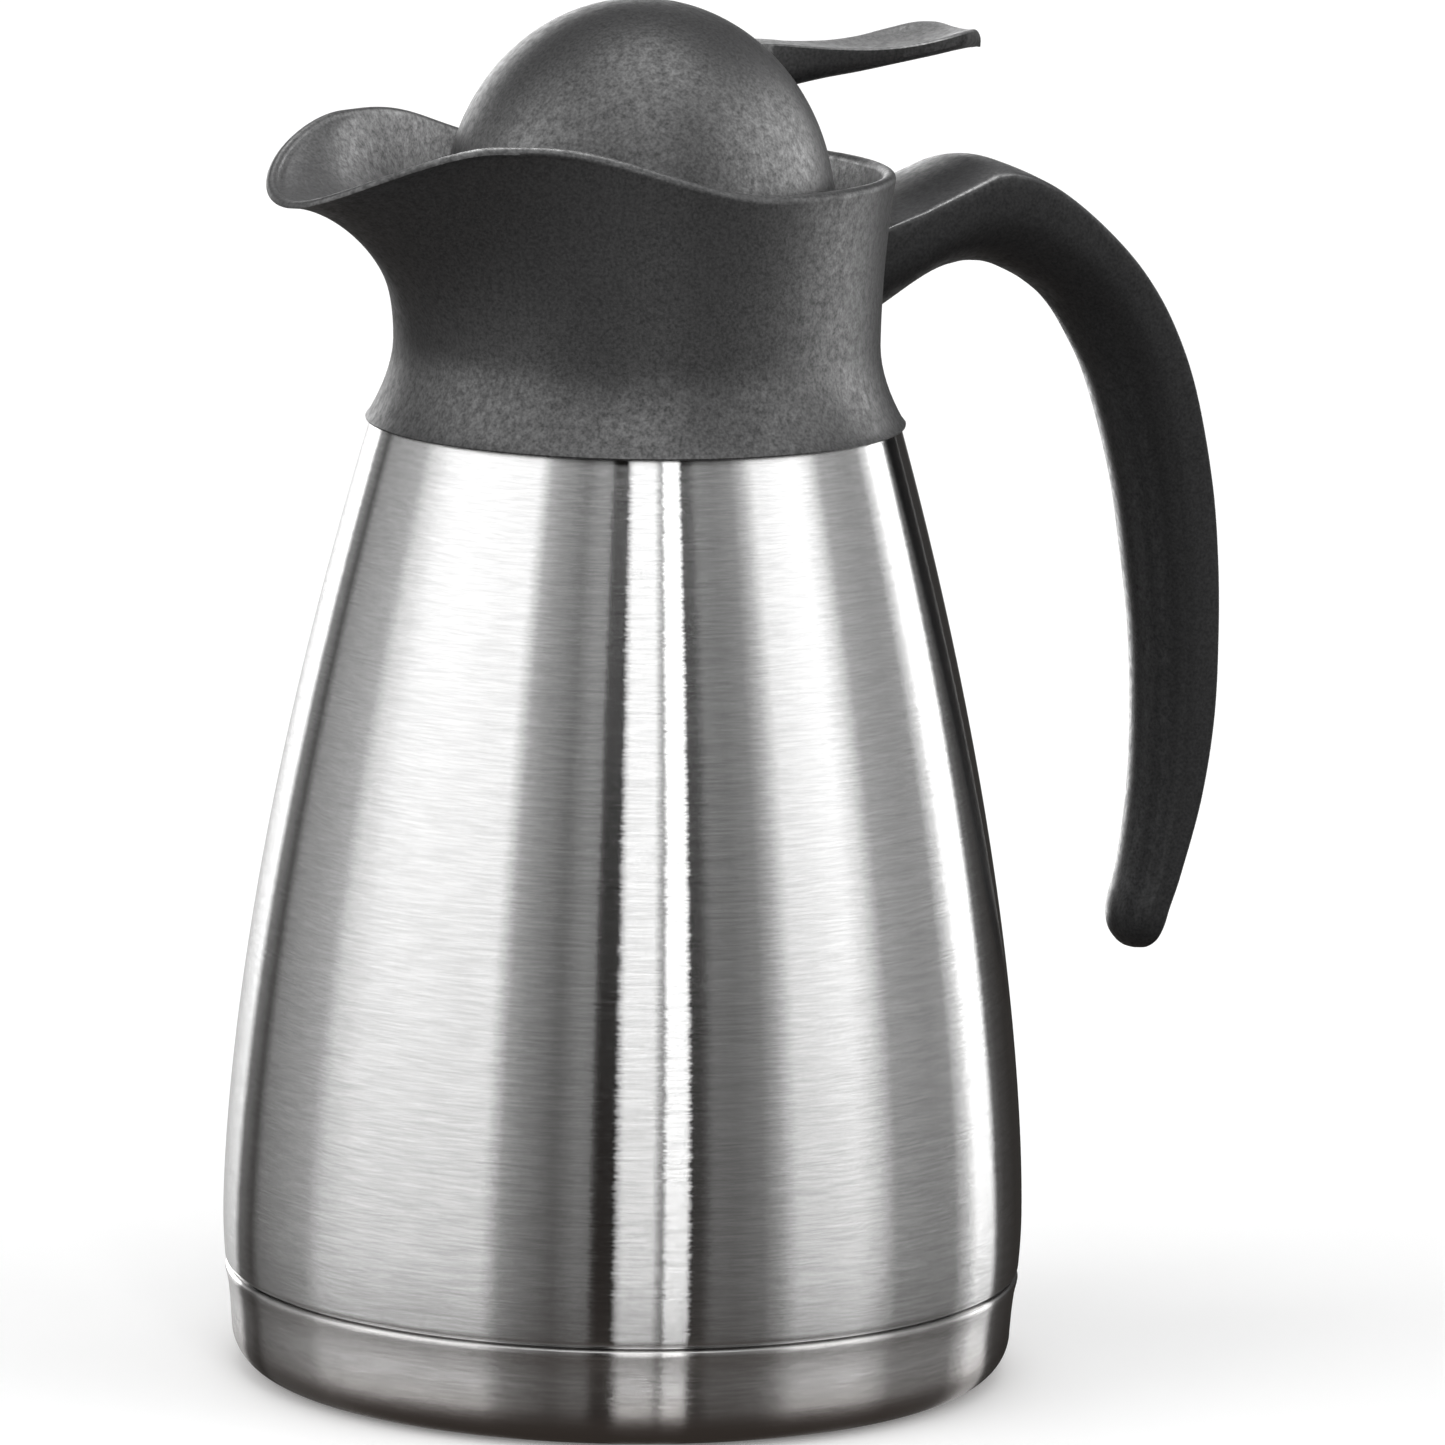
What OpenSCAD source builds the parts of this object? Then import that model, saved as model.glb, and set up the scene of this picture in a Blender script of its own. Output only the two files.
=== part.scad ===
// Vacuum coffee pot with a push-lever pouring stopper.
// Millimetres, +Z up. The origin is on the table plane on the pot's axis.
// The handle points to +X and the spout to -X.

/* [Body] */
// Largest diameter of the steel body
body_d = 134; // [126:1:140]
// Diameter of the steel body where it meets the collar
neck_top_d = 88; // [86:1:89]
// Height of the seam between the body and the base cup
seam_z = 17.2; // [14:0.2:20]
// Height of the widest part of the body
belly_z = 27; // [24:1:34]
// Fullness of the shoulder curve
shoulder_power = 1.66; // [1.4:0.02:2]
// Height where the collar starts
collar_z = 160.2; // [160.2:0.1:160.2]
// Steel sheet thickness
steel_t = 0.8; // [0.6:0.1:1]
// Vacuum gap between the two walls
vacuum_gap = 4.6; // [3.5:0.1:6]
// Corner radius at the foot of the base cup
foot_r = 7; // [5:0.5:8]

/* [Collar and spout] */
// Radius of the collar at its waist
waist_r = 40.4; // [40:0.1:41]
// Height of the waist
waist_z = 173.5; // [172:0.5:175]
// Radius of the collar rim at the back
rim_r = 42.4; // [42:0.1:43]
// How far the spout tip reaches beyond the rim radius
spout_reach = 24.2; // [20:0.1:30]
// Half angle of the spout, in degrees
spout_angle = 31.5; // [26:0.5:34]
// Height of the rim at the spout tip
tip_z = 200.3; // [199:0.1:202]
// Height of the rim at its two shoulders beside the spout
crest_z = 210.9; // [208:0.1:212]
// Height of the rim at the back
back_z = 202.5; // [201:0.1:204]

/* [Handle] */
// Half width of the handle where it meets the collar
grip_w0 = 13; // [12:0.5:13.5]
// Half width of the handle near its lower tip
grip_w1 = 7; // [6:0.5:8]
// Gap between handle and collar
handle_gap = 0.25; // [0.2:0.05:0.4]

/* [Stopper] */
// Outer radius of the dome cap
dome_r = 32.5; // [32:0.1:33]
// Height of the top of the dome
dome_z = 230.5; // [229:0.5:231]
// Lead of the four-start thread, travel for one turn
thread_lead = 30; // [30:1:30]
// Number of thread starts
thread_starts = 4; // [4:1:4]
// Thickness of each thread ridge
ridge_h = 2.2; // [1.8:0.1:2.3]
// Number of pouring windows
windows = 6; // [6:1:6]

/* [Lever and valve] */
// Distance of the lever pin from the axis
pin_x = 15.5; // [15:0.1:16]
// Height of the lever pin
pin_z = 212; // [211.8:0.1:212.2]
// Radius of the lever pin
pin_r = 1.5; // [1.4:0.05:1.5]
// Clearance on running fits
run_fit = 0.06; // [0.05:0.01:0.08]
// Radius of the valve stem
stem_r = 2.5; // [2.3:0.1:2.6]
// Coils of the valve spring
spring_turns = 5; // [4:1:6]

/* [Hidden] */
$fn = 96;
steel = [0.72, 0.71, 0.69];
dark = [0.2, 0.2, 0.21];
plate_z = 18.4;              // underside of the closure plate
seat_z = 167;                // valve seat
lip_z = 178;                 // top of the flask's mouth
gasket_z = 179;              // top of the neck gasket
floor_z = 189.6;             // floor of the pouring basin
deck_z = 196;                // top of the stopper body
mouth_r = 29.2;              // inner radius of the mouth
neck_r = 33.2;               // outer radius of the neck
bore_r = neck_r - steel_t;   // inner radius of the neck sheet
groove = 0.6;                // depth of the snap groove in the neck
bridge_t = 2.2;              // thickness of the bridge plate
bridge_top = deck_z + bridge_t;
valve_top = seat_z + 2.4;    // top face of the valve plate, under the spring
spring_top = deck_z - 1.6;   // roof of the spring's groove in the bridge

// ---------- shared curves ----------
function smooth(t) = let (u = max(0, min(1, t))) u * u * (3 - 2 * u);
// outside radius of the steel body at height z
function body_r(z) = body_d / 2 - (z > belly_z
  ? (body_d - neck_top_d) / 2 * pow((z - belly_z) / (collar_z - belly_z), shoulder_power)
  : 0.5 * pow((belly_z - z) / (belly_z - seam_z), 2));
// radius and height of the collar rim at an angle from the spout
function rim_rad(angle) = rim_r + spout_reach * exp(-pow(abs(angle) / spout_angle, 2.3));
function rim_h(angle) = abs(angle) < 37
  ? tip_z + (crest_z - tip_z) * smooth(abs(angle) / 33)
  : crest_z - (crest_z - back_z) * smooth((abs(angle) - 37) / 57);
// share of the rim's reach taken up at fraction t of the height, in the spout's flare
function flare(t) = 1 - pow(max(0, 1 - pow(t, 1.6)), 0.57);
// outside radius of the collar at an angle from the spout and height z
function collar_r(angle, z) = z <= waist_z
  ? waist_r + 4.5 * pow((waist_z - z) / (waist_z - collar_z), 1.8)
  : let (t = min(1, (z - waist_z) / (rim_h(angle) - 1.2 - waist_z)),
         spout = exp(-pow(abs(angle) / 40, 2)))
    waist_r + (rim_rad(angle) - waist_r) * (spout * flare(t) + (1 - spout) * t * t);
// Catmull-Rom curve from start to end
function catmull_rom(before, start, end, after, t) = 0.5 * (2 * start + (end - before) * t
  + (2 * before - 5 * start + 4 * end - after) * t * t
  + (3 * start - before - 3 * end + after) * t * t * t);
// row of a station table at position s, counted in stations
function along(rows, s) = let (last = len(rows) - 1, i = min(last - 1, floor(s)))
  catmull_rom(rows[max(0, i - 1)], rows[i], rows[i + 1], rows[min(last, i + 2)], s - i);
function sum(v, i = 0) = i >= len(v) ? 0 : v[i] + sum(v, i + 1);

// ---------- shared solids ----------
// closed surface through sections of equal length; capped, or closed on itself
module rings(sections, closed = false) {
  count = len(sections);
  size = len(sections[0]);
  ends = closed ? [] : [sections[0], sections[count - 1]];
  centres = [for (ring = ends) [for (k = [0:2]) sum([for (p = ring) p[k]]) / size]];
  points = [for (ring = sections) each ring, each centres];
  sides = [for (i = [0:count - (closed ? 1 : 2)]) for (j = [0:size - 1])
    let (row = i * size, next_row = ((i + 1) % count) * size, k = (j + 1) % size)
    each [[row + j, row + k, next_row + k], [row + j, next_row + k, next_row + j]]];
  end_row = (count - 1) * size;
  hub = count * size;
  caps = closed ? [] : [for (j = [0:size - 1]) let (k = (j + 1) % size)
    each [[hub, k, j], [hub + 1, end_row + j, end_row + k]]];
  polyhedron(points = points, faces = concat(sides, caps), convexity = 8);
}
module tube(outer_r, inner_r, z0, z1) {
  translate([0, 0, z0]) difference() {
    cylinder(r = outer_r, h = z1 - z0);
    translate([0, 0, -1]) cylinder(r = inner_r, h = z1 - z0 + 2);
  }
}
// all starts of a thread: helical ridges from a buried radius to a proud one
thread_sweep = 35;  // degrees covered by each ridge
module thread(buried_r, proud_r, mid_z) {
  steps = 10;
  side = proud_r > buried_r ? 1 : -1;  // keeps the faces pointing outwards
  root = side * ridge_h / 2;
  crest = root - side * 0.35;
  profile = [[buried_r, -root], [proud_r, -crest], [proud_r, crest], [buried_r, root]];
  for (k = [0:thread_starts - 1]) rings([for (i = [0:steps])
    let (turn = thread_sweep * i / steps, angle = k * 360 / thread_starts + turn)
    [for (p = profile)
      [p[0] * cos(angle), p[0] * sin(angle), mid_z + thread_lead * turn / 360 + p[1]]]]);
}

// ---------- steel body ----------
// profiles of the body and neck are [radius, z]
// outer face of the outer wall: belly, shoulder and the neck with its snap groove
function shell_out() = [
  [body_r(seam_z + 0.8) - 1.0, seam_z + 0.5], [body_r(seam_z + 1.1) - 0.25, seam_z + 0.8],
  for (z = [seam_z + 1.8:4:collar_z - 2]) [body_r(z), z],
  [body_r(collar_z - 0.4), collar_z - 0.4],
  [43.5, 160.8], [42, 161.4], [38, 162.2], [35, 163.1], [33.7, 164.4],
  [neck_r, 166], [neck_r, 169.6], [neck_r - groove, 170.4], [neck_r - groove, 172.6],
  [neck_r, 173.4], [neck_r, lip_z]];
// inner face of the outer wall, from the neck down
function shell_in() = [
  [bore_r, lip_z], [bore_r, 173.7], [bore_r - groove, 172.8], [bore_r - groove, 170.2],
  [bore_r, 169.2], [bore_r, 165.6], [33, 163.6], [34.6, 162.3], [37.8, 161.4], [41.6, 160.6],
  for (z = [collar_z - 2:-4:seam_z + 2]) [body_r(z) - steel_t, z],
  [body_r(seam_z + 1.1) - 1.0, seam_z + 1.5]];
module outer_shell() color(steel) rotate_extrude() polygon(concat(shell_out(), shell_in()));

// closure plate of the vacuum space, welded inside the outer wall
module shell_bottom() color([0.6, 0.59, 0.57]) {
  bend_r = body_r(26) - steel_t;
  flange_r = body_r(29) - steel_t - 0.05;
  translate([0, 0, plate_z]) rotate_extrude() polygon([
    [4, 1.4], [40, 1.4], [52, 4], [bend_r - 3, 5.2], [bend_r - 1, 8],
    [flange_r, 10], [flange_r, 12], [flange_r - 0.85, 12], [bend_r - 1.9, 8.6],
    [bend_r - 3.6, 6.1], [51.6, 4.9], [39.8, 2.2], [4, 2.2]]);
}

// inner vessel, its mouth flanged out to the outer wall
function flask_r(z) = min(body_r(z) - steel_t - vacuum_gap, 62);
flange_fit_r = bore_r - 0.02;
module inner_flask() color([0.8, 0.79, 0.77]) rotate_extrude() polygon([
  [0, 28], [48, 28], [55, 30], [59, 34], [flask_r(42), 42],
  for (z = [50:6:146]) [flask_r(z), z],
  [38.6, 155], [34, 159], [31, 162.5], [mouth_r + steel_t, 167],
  [mouth_r + steel_t, lip_z - 1.2], [flange_fit_r, lip_z - 0.8], [flange_fit_r, lip_z],
  [mouth_r, lip_z], [mouth_r, 166.6], [30.3, 162], [33.6, 158.2], [38, 154.2],
  for (z = [146:-6:50]) [flask_r(z) - steel_t, z],
  [flask_r(42) - steel_t, 42.2], [58.3, 34.6], [54.5, 30.8],
  [48, 28 + steel_t], [0, 28 + steel_t]]);

// open cup standing on the closure plate
module getter() color([0.45, 0.45, 0.47]) translate([26, 0, plate_z + 2.2]) difference() {
  cylinder(r = 5, h = 2.4, $fn = 48);
  translate([0, 0, 1]) cylinder(r = 4, h = 3, $fn = 48);
}
// headed plug in the hole of the closure plate
module evacuation_seal() color([0.5, 0.48, 0.45]) translate([0, 0, plate_z])
  rotate_extrude($fn = 48)
  polygon([[0, 0.2], [6.5, 0.2], [6.5, 1.35], [3.9, 1.35], [3.9, 2.6], [0, 2.6]]);

// base cup with a rolled upper bead, a lip inside the shell and a standing ring
cup_r = body_d / 2;
function foot_point(radius, angle) =
  [cup_r - 1.6 - foot_r + radius * cos(angle), foot_r + radius * sin(angle)];
module base_cup() color([0.66, 0.63, 0.6]) rotate_extrude() polygon([
  [0, 2.2], [48, 2.2], [50, 1.6], [51.5, 0.3], [52.2, 0],
  for (a = [-90:11.25:0]) foot_point(foot_r, a),
  [cup_r - 1.3, 11], [cup_r - 0.8, 14.2], [cup_r - 0.45, seam_z - 1.1],
  [cup_r - 0.5, seam_z - 0.35], [cup_r - 0.9, seam_z], [cup_r - 1.9, seam_z],
  [cup_r - 1.9, seam_z + 4], [cup_r - 2.7, seam_z + 4], [cup_r - 2.7, seam_z - 1.2],
  [cup_r - 1.9, seam_z - 2.6], [cup_r - 2.4, 9],
  for (a = [0:-15:-90]) foot_point(foot_r - steel_t, a),
  [53, steel_t], [52.3, 1.2], [50.8, 2.6], [48.4, 3], [0, 3]]);

// ---------- neck ----------
// ring that snaps onto the neck and carries the stopper's thread
module neck_ring() color([0.16, 0.16, 0.17]) union() {
  rotate_extrude() polygon([
    [33.35, 167.5], [35.2, 167.5], [35.2, 181.2], [33.6, 182.2], [33.4, 185.2],
    [35.2, 186.2], [35.2, 187.3], [33.4, 187.3], [33.4, 191.1], [33.2, 191.3],
    [31.2, 191.3], [31, 191.1], [31, 181.2], [mouth_r + 0.1, 181.2],
    [mouth_r + 0.1, gasket_z], [33.35, gasket_z],
    [33.35, 173], [32.8, 172.3], [32.8, 170.9], [33.35, 170.2]]);
  thread(buried_r = 31.5, proud_r = 30.15, mid_z = 187);
}
module neck_gasket() color([0.75, 0.75, 0.73]) tube(33.05, mouth_r + 0.4, lip_z, gasket_z);

// ---------- collar with spout ----------
basin_r = 37.8;  // radius of the basin at its floor
// [radius, z] profile: up the outside, over the rim, down the basin and the bore
function collar_section(angle) =
  let (rim = rim_rad(angle), top = rim_h(angle), spout = exp(-pow(abs(angle) / 34, 2))) [
    for (z = [collar_z, 161.4, 163, 165, 168, 171, waist_z]) [collar_r(angle, z), z],
    for (t = [0.14, 0.28, 0.42, 0.55, 0.67, 0.78, 0.87, 0.94, 0.985, 1])
      let (z = waist_z + t * (top - 1.2 - waist_z)) [collar_r(angle, z), z],
    [rim - 0.15, top - 0.45], [rim - 0.75, top], [rim - 1.5, top - 0.1], [rim - 2.1, top - 0.6],
    // inner wall, which flares with the outer one so that it stays clear of it
    for (s = [0.97, 0.93, 0.87, 0.78, 0.66, 0.52, 0.37, 0.22, 0.09, 0])
      let (k = spout * (0.4 * pow(s, 0.95) + 0.6 * flare(s)) + (1 - spout) * pow(s, 0.8))
      [basin_r + (rim - 2.2 - basin_r) * k, floor_z + (top - 0.9 - floor_z) * s],
    [33.75, floor_z], [33.75, 187.35], [38.5, 187.35], [38.2, 181], [38.1, waist_z],
    [38.6, 169], [40, 165.4], [41.6, 163.3], [43.4, 161.7], [44.3, 160.9], [44.45, collar_z]];
module spout_collar() color(dark) difference() {
  rings([for (i = [0:71])
    let (angle = i * 5, section = collar_section(angle > 180 ? angle - 360 : angle))
    [for (j = [len(section) - 1:-1:0]) let (p = section[j])
      [-p[0] * cos(angle), p[0] * sin(angle), p[1]]]], closed = true);
  at_handle_screws(30) cylinder(r = 1.7, h = 20, $fn = 32);
}
// ring nut that holds the collar down on the neck ring, with six notches on top
module collar_lock_ring() color([0.14, 0.14, 0.15]) difference() {
  rotate_extrude() polygon([[33.55, floor_z], [37.5, floor_z], [37.5, 190.7],
    [37.1, 191.2], [33.55, 191.2]]);
  for (a = [0:60:300]) rotate([0, 0, a + 30]) translate([36.1, -2, 190.2]) cube([3, 4, 3]);
}

// ---------- handle ----------
// two screws side by side, pointing to +X from the given x
handle_screw_y = 6.5;
handle_screw_z = 184;
handle_screw_len = 14.4;
module at_handle_screws(x) for (s = [-1, 1])
  translate([x, s * handle_screw_y, handle_screw_z]) rotate([0, 90, 0]) children();

// stations from collar to tip: outer edge x, z; inner edge x, z; taper from grip_w0 (0)
// to grip_w1 (1); crown of the outer face
grip = [
  [37, 190.3, 37, 173, 0, 0.6], [48, 194.2, 48.2, 179.6, 0.02, 1.1],
  [56.5, 197.3, 54.8, 182.7, 0.05, 1.8], [63.9, 200, 61.5, 184, 0.1, 2.1],
  [71, 198.3, 67, 183.4, 0.12, 1.1], [78, 194.4, 72.4, 181.4, 0.15, 0.7],
  [86, 188, 77.6, 178.5, 0.18, 0.7], [92.8, 181, 82, 174.8, 0.22, 0.8],
  [98.6, 172.4, 86, 169.2, 0.27, 1], [103.6, 161, 90.2, 161.2, 0.34, 1.2],
  [107.8, 145, 94.9, 146.2, 0.47, 1.5], [109.8, 131, 97.6, 131.8, 0.57, 1.7],
  [110.6, 117, 99.6, 117.6, 0.66, 1.8], [110.5, 103, 100.3, 103.4, 0.76, 1.8],
  [108.7, 89.3, 100, 90, 0.86, 1.8], [105.3, 76.4, 98.4, 77.4, 0.96, 1.7],
  [103.4, 70.6, 96.7, 71.8, 1.02, 1.6], [102.5, 67.3, 96.3, 68.6, 1.07, 1.4],
  [101.6, 65, 96.9, 66, 1.2, 1.1], [100.7, 63.6, 98.1, 64.1, 1.5, 0.6],
  [99.8, 63.2, 98.9, 63.3, 1.85, 0.2]];
// the curve is split at this station, which leaves a crease there
crease = 3;
grip_arm = [for (i = [0:crease]) grip[i]];
grip_bow = [for (i = [crease:len(grip) - 1]) grip[i]];
// cross-section: crowned outer face, flat flanks, rounded inner face
function grip_ring(row) =
  let (outer = [row[0], row[1]], across = [row[2], row[3]] - outer, depth = norm(across),
       half_w = grip_w0 + (grip_w1 - grip_w0) * row[4], round = min(0.62 * depth, half_w * 0.95),
       flank = (depth - round) * 0.5)
  [for (q = [
      for (y = [-1, -0.6, 0, 0.6, 1]) [y * half_w, -row[5] * (1 - y * y)],
      [half_w * 0.99, flank],
      for (a = [0:22.5:180]) [half_w * 0.98 * cos(a), depth - round + round * sin(a)],
      [-half_w * 0.99, flank]])
    let (p = outer + across / depth * q[1]) [p[0], q[0], p[1]]];
module handle() color(dark) difference() {
  rings([for (s = [0:0.5:len(grip) - 1])
    grip_ring(s < crease ? along(grip_arm, s) : along(grip_bow, s - crease))]);
  // face that fits the collar's waist
  rotate_extrude()
    polygon([[0, 170], for (z = [170:5:200]) [collar_r(180, z) + handle_gap, z], [0, 200]]);
  at_handle_screws(36) cylinder(r = 1.35, h = handle_screw_len, $fn = 32);
}
module handle_screws() color([0.6, 0.6, 0.6]) at_handle_screws(35.4) difference() {
  union() {
    cylinder(r = 2.5, h = 1.6, $fn = 32);
    cylinder(r = 1.3, h = handle_screw_len, $fn = 32);
  }
  translate([0, 0, -0.1]) cylinder(r = 1.1, h = 1.1, $fn = 6);
}

// ---------- stopper ----------
// three upright screws around the stopper, from height z
module at_bridge_screws(z) for (a = [0, 120, 240]) rotate([0, 0, a])
  translate([27.7, 0, z]) children();
// cylinder on the lever pin's line, running towards -Y from y
module on_pin(radius, y, length) translate([pin_x, y, pin_z]) rotate([90, 0, 0])
  cylinder(r = radius, h = length, $fn = 48);

module stopper_gasket() color([0.8, 0.8, 0.78]) rotate_extrude()
  polygon([[28.26, 181.3], [29.8, 181.3], [30, 182.1], [29.8, 182.9], [28.26, 182.9]]);

window_angle = 42;
module stopper_body() color([0.17, 0.17, 0.18]) difference() {
  union() {
    rotate_extrude() polygon([
      [9, seat_z - 3], [27.6, seat_z - 3], [28.2, seat_z - 2.4], [28.6, 180.6], [28.6, 181],
      [28.2, 181.25], [28.2, 183], [29.4, 183], [29.4, deck_z], [26.2, deck_z],
      [26.2, seat_z + 1.5], [25, seat_z - 0.6], [14.2, seat_z - 0.6], [13.4, seat_z],
      [9, seat_z]]);
    thread(buried_r = 28.8, proud_r = 30.8, mid_z = 184.4);
  }
  for (k = [0:windows - 1]) translate([0, 0, 191.4])
    rotate_extrude(angle = window_angle, start = (k + 0.5) * 360 / windows - window_angle / 2)
    translate([24, 0]) square([8, 3.2]);
  at_bridge_screws(deck_z - 7) cylinder(r = 0.95, h = 8, $fn = 24);
}

// bridge across the stopper: stem guide and the two lugs that hold the pin
lug_r = 4;
lug_t = 3;
lug_in = 5;              // y of the lugs' inner faces
lug_out = lug_in + lug_t;
module bridge_plate() color(dark) difference() {
  union() {
    translate([0, 0, deck_z]) cylinder(r = 30.1, h = bridge_t);
    translate([0, 0, deck_z - 4]) cylinder(r = 9, h = 4);
    translate([0, 0, deck_z]) cylinder(r = 6.5, h = 8);
    for (s = [-1, 1]) {
      translate([pin_x - lug_r, s > 0 ? lug_in : -lug_out, deck_z])
        cube([2 * lug_r, lug_t, pin_z - deck_z]);
      on_pin(lug_r, s > 0 ? lug_out : -lug_in, lug_t);
    }
  }
  translate([0, 0, deck_z - 6]) cylinder(r = stem_r + run_fit, h = 20, $fn = 48);
  // groove for the top of the spring
  translate([0, 0, deck_z - 5]) difference() {
    cylinder(r = 7.6, h = spring_top - deck_z + 5, $fn = 48);
    translate([0, 0, -1]) cylinder(r = 4.4, h = 6, $fn = 48);
  }
  on_pin(pin_r + 0.02, 20, 40);
  at_bridge_screws(deck_z - 1) cylinder(r = 1.2, h = 6, $fn = 24);
}
module bridge_screws() color([0.62, 0.62, 0.62]) at_bridge_screws(0) difference() {
  union() {
    translate([0, 0, bridge_top]) cylinder(r = 1.8, h = 1.3, $fn = 32);
    translate([0, 0, deck_z - 6]) cylinder(r = 0.9, h = 8.3, $fn = 32);
  }
  translate([0, 0, bridge_top + 0.5]) cylinder(r = 0.9, h = 2, $fn = 6);
}

// dome with a slot for the lever
dome_base = 195;
dome_in_r = 29.7;
dome_in_z = dome_z - 2.3;
slot_w = 10.4;
function dome_point(radius, top, angle) =
  [radius * cos(angle), dome_base + (top - dome_base) * sin(angle)];
module dome_cap() color(dark) difference() {
  rotate_extrude() polygon([
    [30.25, dome_base], [dome_r - 0.3, dome_base],
    for (a = [0.6, for (i = [4:4:88]) i]) dome_point(dome_r, dome_z, a),
    [0, dome_z], [0, dome_in_z],
    for (a = [86:-6:8]) dome_point(dome_in_r, dome_in_z, a),
    [dome_in_r, bridge_top], [30.25, bridge_top]]);
  translate([19, -slot_w / 2, 211.4]) cube([30, slot_w, 40]);
}
module lever_pin() color([0.7, 0.7, 0.7]) on_pin(pin_r, lug_out - 0.1, 2 * (lug_out - 0.1));

// ---------- lever ----------
// stations along the lever: x, top edge height, depth, half width, dish depth
blade = [
  [19.5, 222.6, 9.6, 4.2, -0.3], [24, 222.4, 8.5, 4.2, -0.3], [29, 221.9, 6.9, 4.8, -0.2],
  [34, 221.5, 5.6, 5.8, 0.3], [40, 221.3, 4.5, 7.1, 0.9], [46, 221.6, 3.7, 8.2, 1.4],
  [52, 222.5, 3.6, 9, 1.3], [57, 223.4, 3.8, 8.8, 0.5], [60, 223.7, 3.85, 7.2, 0],
  [61.8, 223.3, 3.4, 5.4, 0], [63.2, 222.4, 2.5, 3.8, 0], [64.2, 221.4, 1.5, 2.4, 0],
  [64.9, 220.5, 0.7, 1.2, 0]];
// cross-section: dished top, rounded underside
function blade_ring(row) = let (half_w = row[3])
  [for (q = [
      for (y = [-1, -0.55, 0, 0.55, 1]) [y * half_w, -row[4] * (1 - y * y)],
      for (a = [15:30:165]) [half_w * cos(a), -0.5 - (row[2] - 0.5) * pow(sin(a), 0.55)]])
    [row[0], q[0], row[1] + q[1]]];
hub_w = 9.6;
web_w = 6.8;
fork_w = 9.2;
tine_w = 1.6;
module thumb_lever() color(dark) difference() {
  union() {
    rings([for (s = [0:0.5:len(blade) - 1]) blade_ring(along(blade, s))]);
    // hub on the pin and the web that joins it to the blade
    on_pin(3.6, hub_w / 2, hub_w);
    translate([0, web_w / 2, 0]) rotate([90, 0, 0]) linear_extrude(web_w) polygon([
      [pin_x - 1, pin_z + 3.4], [19, pin_z + 7.4], [21, pin_z + 8.4], [25, pin_z + 4],
      [24, pin_z + 1.6], [pin_x + 2, pin_z - 2.6]]);
    // fork under the head of the valve stem
    translate([3.6, -fork_w / 2, pin_z - 3.2]) cube([pin_x - 5.2, fork_w, 3]);
    for (y = [-fork_w / 2, fork_w / 2 - tine_w])
      translate([-1.4, y, pin_z - 3.2]) cube([6, tine_w, 2.7]);
  }
  on_pin(pin_r + run_fit, 20, 40);
}

// ---------- valve ----------
tail_r = 1.6;         // thin lower end of the stem
tail_hole_r = 1.62;   // bore of the parts on it
module valve_stem() color([0.75, 0.74, 0.72]) rotate_extrude($fn = 64) polygon([
  [0, seat_z - 2.6], [tail_r, seat_z - 2.6], [tail_r, seat_z + 0.1], [tail_r, valve_top],
  [stem_r, valve_top], [stem_r, pin_z + 0.1], [4.4, pin_z + 0.1], [4.4, pin_z + 1.4],
  [3.8, pin_z + 2], [0, pin_z + 2]]);
module valve_plate() color([0.22, 0.22, 0.23]) rotate_extrude($fn = 64) polygon([
  [tail_hole_r, seat_z + 1.2], [12.6, seat_z + 1.2], [13, seat_z + 1.6], [12.2, valve_top],
  [7.6, valve_top], [7.6, valve_top + 1], [6.6, valve_top + 1], [6.6, valve_top],
  [tail_hole_r, valve_top]]);
module valve_seal() color([0.8, 0.8, 0.78])
  tube(12.4, tail_hole_r, seat_z + 0.02, seat_z + 1.2);
// slotted washer on the stem's tail
module valve_clip() color([0.65, 0.65, 0.66]) translate([0, 0, seat_z - 1.1]) difference() {
  cylinder(r = 3.6, h = 1.1, $fn = 48);
  translate([0, 0, -1]) cylinder(r = tail_hole_r, h = 4, $fn = 48);
  translate([-6, -0.8, -1]) cube([4.6, 1.6, 4]);
}
// compression spring between the bridge and the valve plate
module valve_spring() color([0.72, 0.72, 0.73]) {
  wire_r = 0.5;
  coil_r = 5.6;
  steps = 20;  // per turn
  count = spring_turns * steps;
  start_z = valve_top + wire_r + 0.04;
  rise = spring_top - valve_top - 2 * wire_r - 0.08;
  rings([for (i = [0:count]) let (turn = 360 * i / steps)
    [for (a = [0:60:300]) let (radius = coil_r + wire_r * cos(a))
      [radius * cos(turn), radius * sin(turn), start_z + rise * i / count + wire_r * sin(a)]]]);
}

outer_shell();
shell_bottom();
inner_flask();
getter();
evacuation_seal();
base_cup();
neck_ring();
neck_gasket();
spout_collar();
collar_lock_ring();
handle();
handle_screws();
stopper_gasket();
stopper_body();
bridge_plate();
bridge_screws();
dome_cap();
lever_pin();
thumb_lever();
valve_stem();
valve_plate();
valve_seal();
valve_clip();
valve_spring();
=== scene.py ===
"""Insulated steel pot with a plastic spout collar, a handle, and a domed stopper with a thumb lever.

The pot stands on z = 0 with its axis on Z. The spout points to -X, the handle and the lever to +X.
Shapes are written in millimetres and scaled to metres; materials, world and panels use metres.
"""
import bpy, bmesh, math
import numpy as np
from math import pi
from mathutils import Matrix, Vector


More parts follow.
